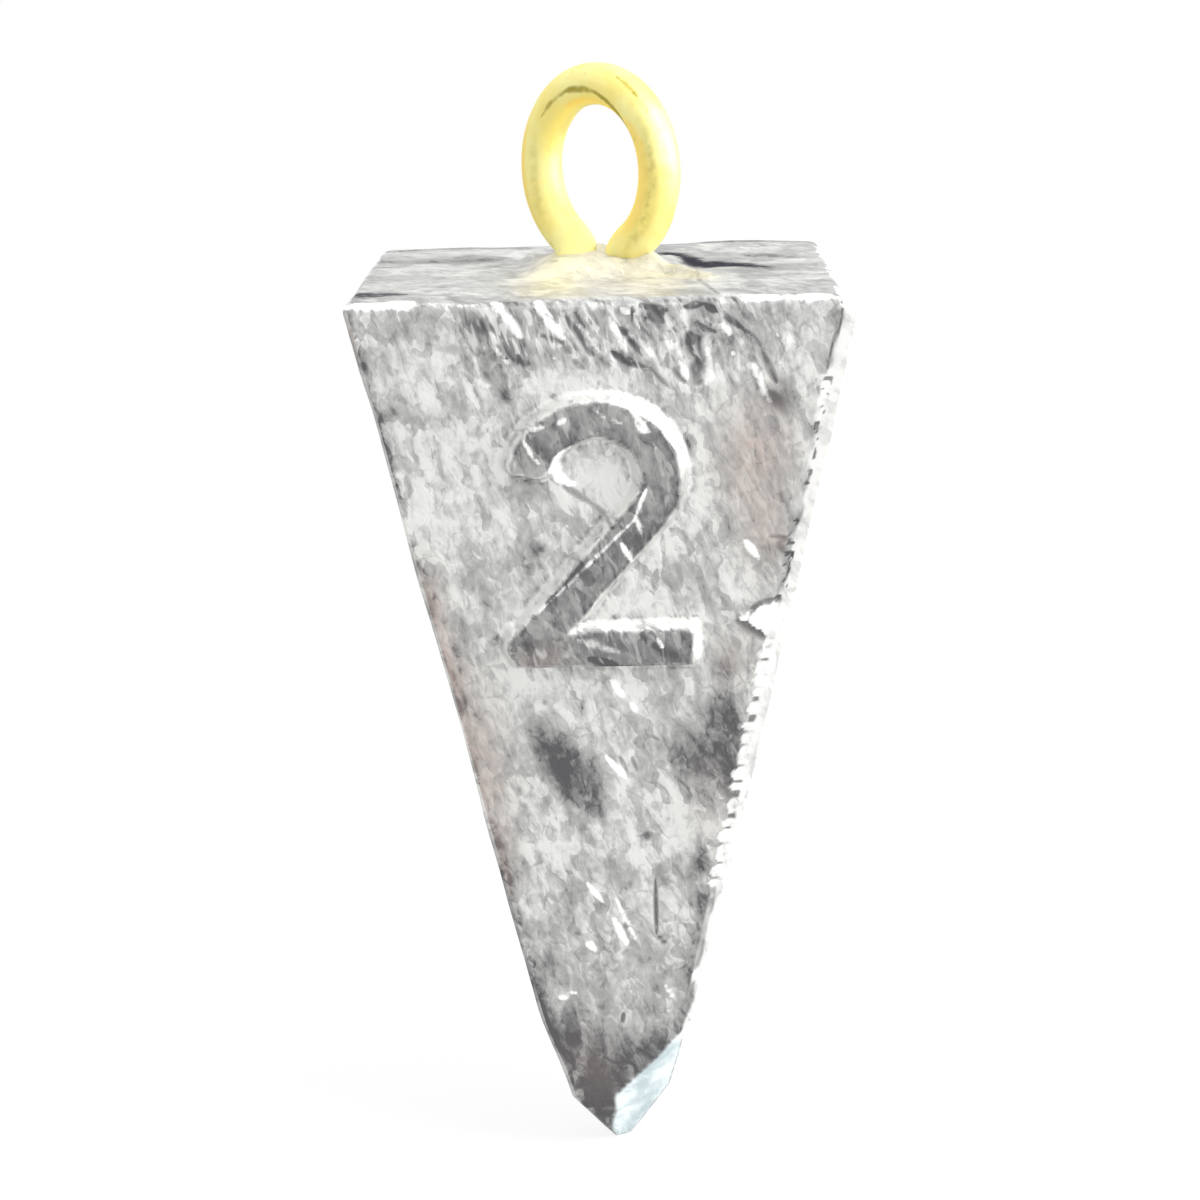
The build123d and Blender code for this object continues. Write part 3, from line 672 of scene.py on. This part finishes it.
# shader sockets as values: arithmetic adds Math nodes, make adds any other node
class Link:
    def __init__(self, tree, socket=None):
        self.tree, self.socket = tree, socket

    def make(self, kind, settings=None, sockets=None, out=0):
        node = self.tree.nodes.new(kind)
        for key, value in (settings or {}).items():
            setattr(node, key, value)
        for key, value in (sockets or {}).items():
            if isinstance(value, Link):
                self.tree.links.new(value.socket, node.inputs[key])
            else:
                node.inputs[key].default_value = value
        return Link(self.tree, node.outputs[out] if len(node.outputs) else None)

    def maths(self, operation, *values):
        return self.make("ShaderNodeMath", {"operation": operation}, dict(enumerate(values)))

    def clamp(self, low=0.0, high=1.0):
        return self.make("ShaderNodeClamp", {}, {0: self, 1: low, 2: high})

    def span(self, low, high):
        # 0 at low, 1 at high and smooth between them
        settings = {"interpolation_type": "SMOOTHSTEP"}
        return self.make("ShaderNodeMapRange", settings, {0: self, 1: low, 2: high})

    def blend(self, first, second):
        # the first colour where this is 0, the second where it is 1
        return self.make("ShaderNodeMix", {"data_type": "RGBA"}, {0: self, 6: first, 7: second}, 2)

    def split(self):
        return [self.make("ShaderNodeSeparateXYZ", {}, {0: self}, k) for k in range(3)]

    def noise(self, scale, detail, rough=0.5, distortion=0.0, out=0):
        # noise at this place, its scale per metre
        sockets = {"Vector": self, "Scale": scale, "Detail": detail}
        sockets.update({"Roughness": rough, "Distortion": distortion})
        return self.make("ShaderNodeTexNoise", {}, sockets, out)

    def mark(self, name):
        # one of the piece's own masks
        return self.make("ShaderNodeAttribute", {"attribute_name": name}, {}, 2)

    def __add__(self, other):
        return self.maths("ADD", self, other)

    def __sub__(self, other):
        return self.maths("SUBTRACT", self, other)

    def __rsub__(self, other):
        return self.maths("SUBTRACT", other, self)

    def __mul__(self, other):
        return self.maths("MULTIPLY", self, other)

    __radd__ = __add__
    __rmul__ = __mul__


def newMaterial(name):
    # an empty node tree, and a Link to start it from
    material = bpy.data.materials.new(name)
    material.use_nodes = True
    material.node_tree.nodes.clear()
    return material, Link(material.node_tree)


# lead: pale oxide over darker metal, bright where it was cut or rubbed; some marks are painted highlights,
# reflection and shade, as noted at each
leadLook = {
    "pale": (0.81, 0.815, 0.79, 1), "mid": (0.47, 0.47, 0.46, 1), "dark": (0.118, 0.116, 0.121, 1),
    "deep": (0.05, 0.05, 0.066, 1), "warm": (0.51, 0.41, 0.37, 1), "freshAndHighlight": (0.93, 0.94, 0.92, 1),
    "burrAndHighlight": (0.97, 0.965, 0.945, 1), "cut": (0.82, 0.89, 0.9, 1), "cutDull": (0.52, 0.61, 0.63, 1),
    "tint": (0.95, 0.87, 0.55, 1), "cream": (0.92, 0.87, 0.77, 1), "creamFrom": (-1.4, 1.2),  # mm, in x
    "gloss": (0.45, 0.45, 0.47, 1), "bumpStrength": 0.6, "bumpHeight": 0.16,
    "plain": 0.29,  # darkness of the skin where it has no marks
    "darker": {  # what each mark adds to that
        # land adds painted dark reflection on the number's top, wall's negative share is painted highlight on
        # its walls, gateRim adds painted shadow beside the cut
        "smudge": 0.66, "land": 0.49, "low": 0.22, "gateRim": 0.35, "top": -0.05, "wall": -0.25,
        # the mark over the middle of the top edge is painted shade
        "warm": 0.14, "rimShaded": 0.4, "pale": -0.32,
    },
    # noises: scale per metre, detail, roughness and distortion
    "worm": (1800, 3, 0.55, 0.9), "fleck": (2600, 2, 0.6, 0.6), "dash": (2900, 1, 0.5, 0.7),
    "cloud": (640, 5, 0.62, 0.4), "grain": (3600, 3, 0.55), "broad": (170, 3, 0.55), "patch": (330, 2, 0.55),
    "stray": (1100, 2, 0.55), "strayBy": 0.7, "borderScale": 1500.0, "crystalScale": 2300.0,
    "wormDraw": 0.45, "dashDraw": 0.3,  # the run is scaled by these, which draws the noise out
}


def leadMaterial(s):
    material, start = newMaterial("cast_lead")
    place = start.make("ShaderNodeTexCoord", out=3)
    px, py, pz = place.split()
    run = (px + py) * 0.5 - pz * 0.87  # down to the right
    lean = (px + py) * 0.87 + pz * 0.5  # square to that

    def drawnOut(share):
        return start.make("ShaderNodeCombineXYZ", {}, {0: run * share, 1: lean, 2: (px - py) * 0.5})

    # grain of the chilled skin: worms, clouds, fine grain, pits and scale-like crystals with dark borders
    drawn = drawnOut(s["wormDraw"])
    worm, fleck = drawn.noise(*s["worm"]), drawn.noise(*s["fleck"]).span(0.56, 0.7)
    cloud, grain, broad = (place.noise(*s[key]) for key in ("cloud", "grain", "broad"))
    dash = drawnOut(s["dashDraw"]).noise(*s["dash"]) - 0.5  # short streaks that lean down to the right
    stray = place.noise(*s["stray"], out=1)
    stray = start.make("ShaderNodeVectorMath", {"operation": "SCALE"}, {0: stray, "Scale": s["strayBy"] * mm})
    strayed = start.make("ShaderNodeVectorMath", {"operation": "ADD"}, {0: drawn, 1: stray})
    sockets = {"Vector": strayed, "Scale": s["borderScale"]}
    border = start.make("ShaderNodeTexVoronoi", {"feature": "DISTANCE_TO_EDGE"}, sockets)
    cell = start.make("ShaderNodeTexVoronoi", {}, {"Vector": strayed, "Scale": s["crystalScale"]}, 1)
    crystal = cell.split()[0]  # one value for each crystal
    tone = (crystal - 0.5) * 0.3 + (worm - 0.5) * 0.9 + (cloud - 0.5) * 0.9 + (grain - 0.5) * 0.3
    tone = tone - fleck * 0.16 - (1 - border.span(0.0, 0.09)) * cloud.span(0.42, 0.6) * 0.14

    # one darkness from all the marks, then one ramp of colours
    mark = start.mark
    flow, land, top, warm, creamPatch = mark("flow"), mark("land"), mark("top"), mark("warm"), mark("creamPatch")
    worms = flow * (0.12 + (1 - mark("wrinkle")).span(0.1, 0.7) * 0.1 + (0 - dash).span(0.0, 0.1) * 0.22)
    # the dark mark's share, painted shadows included
    marredAndShaded = (mark("dark") + tone * 1.1).span(0.25, 0.95) * mark("dark").span(0.0, 0.3)
    shade = s["plain"] - tone * (1.1 - land * 0.4 - top * 0.6) + worms + (0.5 - broad) * 0.35
    # some of these shares are painted reflection, highlight and shade, as noted in leadLook
    for name, share in s["darker"].items():
        shade = shade + mark(name) * share
    # the outline mark adds painted shade at the foot of the number's walls
    shade = shade + marredAndShaded * (0.6 + top * 0.15) + mark("outline") * (0.16 - tone * 0.9)
    # the edge mark is painted shade along the front's left edge
    shade = shade + mark("edge") * (0.3 - tone) - warm * dash * 1.6
    shade = (shade + top * (0.5 - place.noise(*s["patch"])) * 0.7).clamp(0.0, 1.3)
    colour = shade.span(0.0, 0.55).blend(s["pale"], s["mid"])
    colour = shade.span(0.4, 1.15).blend(colour, s["dark"])
    colour = (warm * (0.6 + tone * 1.2)).clamp().blend(colour, s["warm"])

    # rubbed metal with painted highlights and glints, the flash with its painted highlight, deep scars, the
    # cut and the cream and yellow top over that
    crest = flow * (mark("wrinkle").span(0.75, 1.0) * 0.15 + dash.span(0.08, 0.15) * 0.45)
    rubsAndGlints = (mark("bright") + tone * 0.6).span(0.3, 0.85) * mark("bright").span(0.0, 0.3)
    rubsAndGlints = rubsAndGlints + (mark("fold") + tone * 0.8).span(0.25, 0.95) * mark("fold").span(0.0, 0.3) * 0.85
    rubsAndGlints = rubsAndGlints + (mark("rim") + tone * 1.2).span(0.35, 0.85) * mark("rim").span(0.0, 0.3)
    # the streaks on the number's land are painted glints, and the bright lines bring their painted highlights
    rubbedAndLit = (crest + rubsAndGlints + land * dash.span(0.1, 0.17) * 0.2).clamp()
    colour = rubbedAndLit.blend(colour, s["freshAndHighlight"])
    # the flash's white: bright burr with a painted highlight
    burrAndHighlight = (mark("flash") * (0.95 + tone * 1.1) * (1 - marredAndShaded)).clamp()
    colour = burrAndHighlight.blend(colour, s["burrAndHighlight"])
    deep = mark("dark").span(0.6, 1.0) * marredAndShaded * top
    colour = deep.blend(colour, s["deep"])
    gateCut = mark("gate")
    cutColour = (cloud * 0.7 + broad * 0.3).span(0.4, 0.58).blend(s["cutDull"], s["cut"])
    colour = gateCut.blend(colour, cutColour)
    creamPatchColour = px.span(*(edge * mm for edge in s["creamFrom"])).blend(s["tint"], s["cream"])
    colour = (creamPatch * (0.55 + tone * 0.8)).clamp().blend(colour, creamPatchColour)

    rough = (0.5 - shade * 0.14 + tone * 0.25 + marredAndShaded * top * 0.3).clamp(0.25, 0.9)
    metal = (0.75 - rubbedAndLit * 0.35 - burrAndHighlight * 0.4 - creamPatch * 0.3 - gateCut * 0.35 + deep * 0.25).clamp()
    height = (worm * 0.6 + cloud * 0.6 + crystal * 0.12 + grain * 0.15) * (1 - creamPatch * 0.7)
    sockets = {"Strength": s["bumpStrength"], "Distance": s["bumpHeight"] * mm, "Height": height}
    bump = start.make("ShaderNodeBump", {}, sockets)
    shader = start.make("ShaderNodeBsdfPrincipled", {}, {
        "Base Color": colour, "Roughness": rough, "Metallic": metal,
        "Specular Tint": s["gloss"], "Normal": bump,
    })
    start.make("ShaderNodeOutputMaterial", {}, {"Surface": shader})
    return material


# brass: pale yellow, duller in patches, with a painted dark reflection along the inside of the crown
brassLook = {
    "bright": (0.97, 0.91, 0.43, 1), "mid": (0.96, 0.84, 0.3, 1), "toned": (0.99, 0.79, 0.24, 1),
    "darkBrass": (0.46, 0.39, 0.07, 1), "metal": 0.9, "bumpStrength": 0.3, "bumpHeight": 0.06,
    "mottle": (520, 4), "fine": (2600, 4),  # noise: scale per metre and detail
}


def brassMaterial(s):
    material, start = newMaterial("brass_wire")
    place = start.make("ShaderNodeTexCoord", out=3)
    mottle, fine = place.noise(*s["mottle"]), place.noise(*s["fine"])
    colour = mottle.span(0.38, 0.6).blend(s["mid"], s["bright"])
    toned = (start.mark("toned") + (mottle - 0.5) * 0.8).span(0.38, 0.62)
    colour = (toned * 0.85).blend(colour, s["toned"])
    scrapeAndReflection = start.mark("scrapeAndReflection")
    worn = start.mark("worn") * (fine * 0.9 + mottle * 1.1).span(0.6, 1.3)
    worn = worn + (fine * 0.6 + mottle * 0.4).span(0.58, 0.7) * 0.25
    # scrapes, and the painted dark reflection inside the crown, take the dark colour
    scrapeAndReflectionShare = (scrapeAndReflection + (mottle - 0.5) * 0.9 + (fine - 0.5)).span(0.3, 0.95) * scrapeAndReflection.span(0.0, 0.2)
    colour = (worn + scrapeAndReflectionShare).clamp().blend(colour, s["darkBrass"])
    sockets = {"Strength": s["bumpStrength"], "Distance": s["bumpHeight"] * mm, "Height": fine}
    bump = start.make("ShaderNodeBump", {}, sockets)
    rough = (0.54 + mottle * 0.18).clamp(0.15, 0.8)
    sockets = {"Base Color": colour, "Roughness": rough, "Metallic": s["metal"], "Normal": bump}
    shader = start.make("ShaderNodeBsdfPrincipled", {}, sockets)
    start.make("ShaderNodeOutputMaterial", {}, {"Surface": shader})
    return material


leadPiece.data.materials.append(leadMaterial(leadLook))
eyePiece.data.materials.append(brassMaterial(brassLook))
print("materials made")


# white table and backdrop; what the metal mirrors of them is a little brighter to the right and above
stage = {
    "floorHalf": 2.0, "floorLevel": -40.09,  # metres and mm
    "floorColour": (0.86, 0.86, 0.86, 1), "white": (1, 1, 1, 1),
    "nearShare": 0.86,  # of plain white close to the object; the rest is lit and takes its shadow
    "clearFrom": 0.03, "clearTo": 0.16,  # metres over which that share becomes 1
    "mirrored": 0.85, "mirroredRight": 0.8, "room": 1.0, "roomRight": 0.04, "roomUp": 0.08,
}
lamps = {  # place and size in metres, and power
    "key": ((0.16, -0.13, 0.17), 0.1, 0.4),
    "window": ((0.3, -0.06, 0.03), 0.24, 0.8),
    "overhead": ((0.02, -0.05, 0.26), 0.2, 0.15),
}
lampTarget = (0, 0, -0.018)


def raysOf(start):
    # two switches: rays from the camera or through glass, and rays off a glossy surface
    outputs = start.make("ShaderNodeLightPath").socket.node.outputs
    names = ("Is Camera Ray", "Is Glossy Ray", "Is Transmission Ray")
    camera, glossy, through = (Link(start.tree, outputs[name]) for name in names)
    return camera.maths("MAXIMUM", camera, through), glossy


def addFloor(s):
    # a wide square, white to the camera far from the object, and with its real shadow close to it
    h, z = s["floorHalf"], s["floorLevel"] * mm
    mesh = bpy.data.meshes.new("floor")
    mesh.from_pydata([(-h, -h, z), (h, -h, z), (h, h, z), (-h, h, z)], [], [(0, 1, 2, 3)])
    floor = bpy.data.objects.new("floor", mesh)
    bpy.context.scene.collection.objects.link(floor)
    material, start = newMaterial("floor")
    place = start.make("ShaderNodeTexCoord", out=3)
    away = start.make("ShaderNodeVectorMath", {"operation": "LENGTH"}, {0: place}, 1)
    far = away.span(s["clearFrom"], s["clearTo"])
    camera, glossy = raysOf(start)
    mirrored = (s["mirrored"] + place.split()[0] * s["mirroredRight"]).clamp(0.5, 1.0)
    share = camera * (s["nearShare"] + far * (1 - s["nearShare"])) + glossy
    lit = start.make("ShaderNodeBsdfDiffuse", {}, {"Color": s["floorColour"]})
    strength = camera + glossy * mirrored
    glow = start.make("ShaderNodeEmission", {}, {"Color": s["white"], "Strength": strength})
    mixed = start.make("ShaderNodeMixShader", {}, {0: share.clamp(), 1: lit, 2: glow})
    start.make("ShaderNodeOutputMaterial", {}, {"Surface": mixed})
    mesh.materials.append(material)


def addRoom(s):
    # plain white to the camera, and to the object a white room
    world = bpy.data.worlds.new("studio")
    bpy.context.scene.world = world
    world.use_nodes = True
    world.node_tree.nodes.clear()
    start = Link(world.node_tree)
    wx, wz = start.make("ShaderNodeTexCoord", out=0).split()[::2]
    camera = raysOf(start)[0]
    room = (s["room"] + wx * s["roomRight"] + wz * s["roomUp"]).clamp(0.5, 1.2)
    strength = camera + (1 - camera) * room
    sky = start.make("ShaderNodeBackground", {}, {"Color": s["white"], "Strength": strength})
    start.make("ShaderNodeOutputWorld", {}, {"Surface": sky})


def addLamps(items, target):
    # square area lamps, each turned to face the target
    for name, (place, size, power) in items.items():
        data = bpy.data.lights.new(name, "AREA")
        data.size, data.energy = size, power
        lamp = bpy.data.objects.new(name, data)
        bpy.context.scene.collection.objects.link(lamp)
        lamp.location = place
        lamp.rotation_euler = (Vector(target) - Vector(place)).to_track_quat("-Z", "Y").to_euler()


addFloor(stage)
addRoom(stage)
addLamps(lamps, lampTarget)
bpy.context.scene.view_settings.view_transform = "Standard"
print("stage and lamps set")
